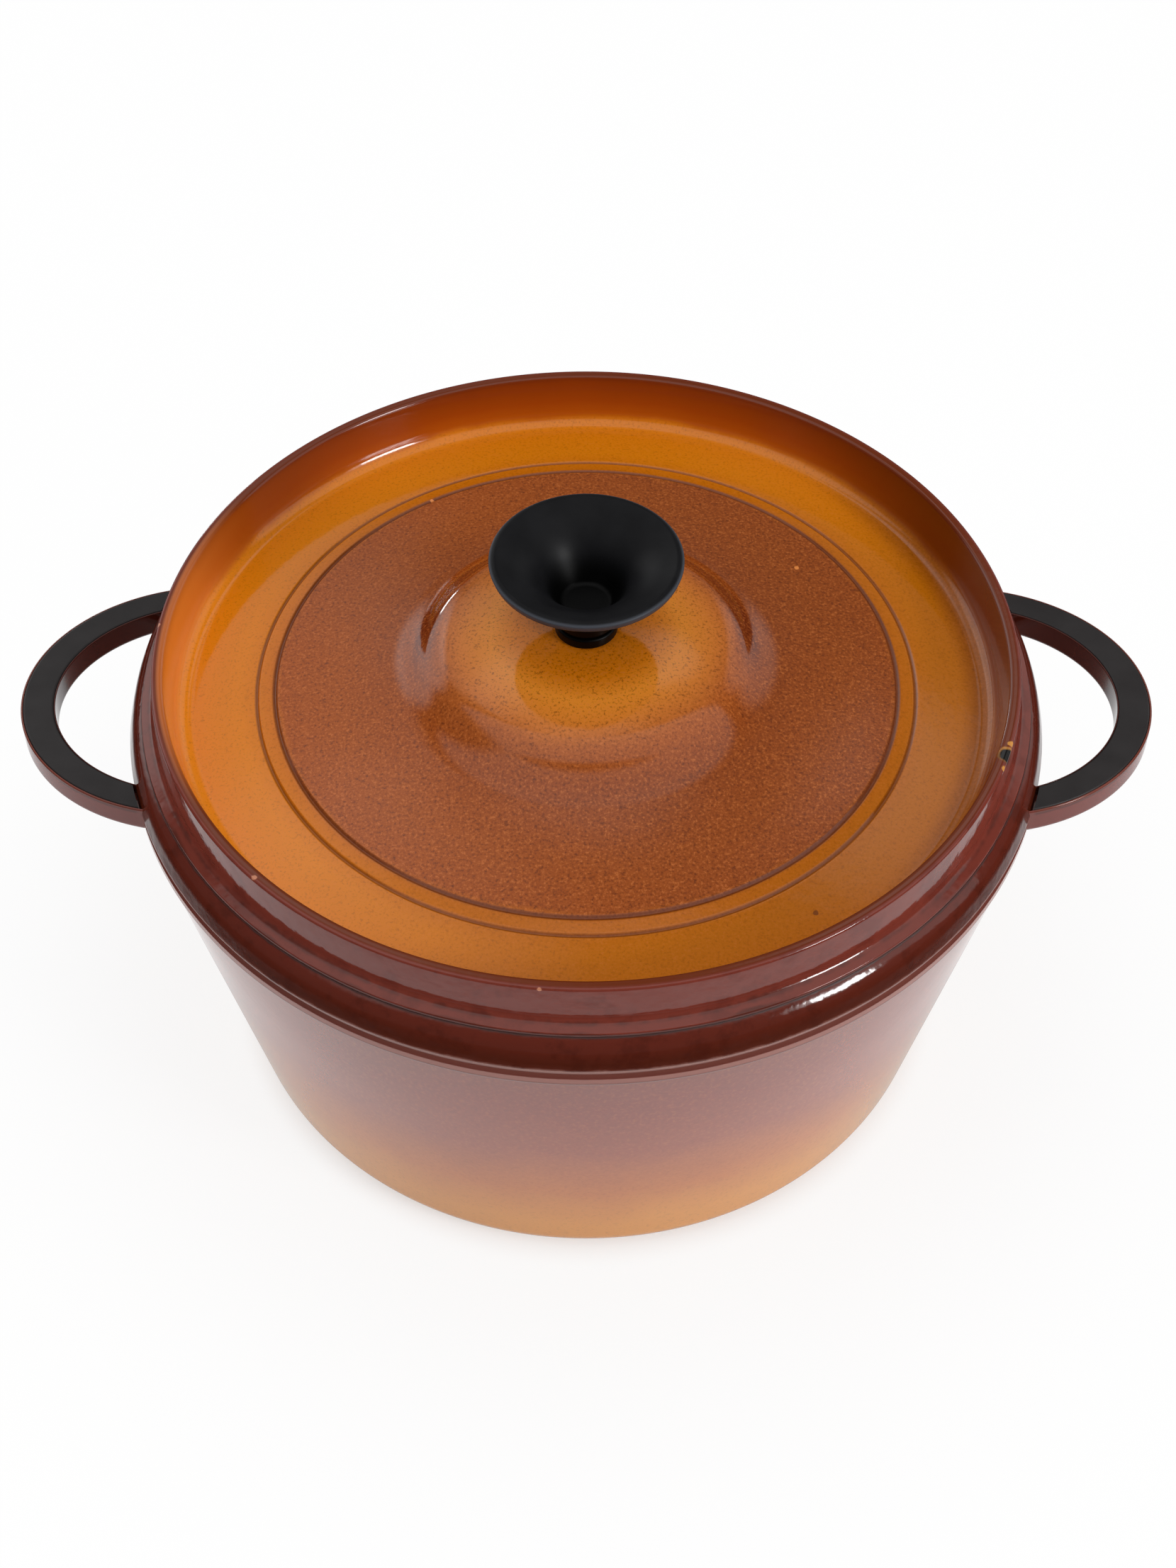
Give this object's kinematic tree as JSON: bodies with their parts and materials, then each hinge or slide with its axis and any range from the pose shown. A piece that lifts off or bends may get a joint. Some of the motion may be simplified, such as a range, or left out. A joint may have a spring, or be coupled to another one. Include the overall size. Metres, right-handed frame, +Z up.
{
  "type": "dutch oven",
  "caption": "Round enamelled cast-iron dutch oven with a lift-off dished lid, a trumpet-shaped black knob and side loops with black grips.",
  "frame": {"origin": "the middle of the pot's base, on the plane it stands on", "axes": "+Z up along the axis of the pot and lid, the two side loops on -X and +X, -Y towards the viewer of the picture"},
  "size_m": [0.3412, 0.2742, 0.1884],
  "materials": {
    "pot_enamel": "glossy enamel, from maroon at the rim through mauve brown to amber at the foot",
    "lid_enamel": "glossy enamel, brown with amber on the mound and round the tray's edge",
    "grip_black": "matt black, heat-proof",
    "knob_black": "satin black, heat-proof",
    "collar_black": "satin black",
    "insert_brass": "turned",
    "fastener_steel": "plain stainless"
  },
  "bodies": {
    "pot": {"pot": "pot_enamel", "left_grip": "grip_black", "right_grip": "grip_black", "grip_screws": "fastener_steel"},
    "lid": {"lid": "lid_enamel", "knob_collar": "collar_black", "knob": "knob_black", "knob_insert": "insert_brass", "knob_screw": "fastener_steel", "flat_washer": "fastener_steel", "lock_washer": "fastener_steel"}
  },
  "joints": [
    {"name": "lid_lift", "type": "slide", "parent": "pot", "child": "lid", "axis": [0, 0, 1], "range_m": [0, 0.2]}
  ]
}
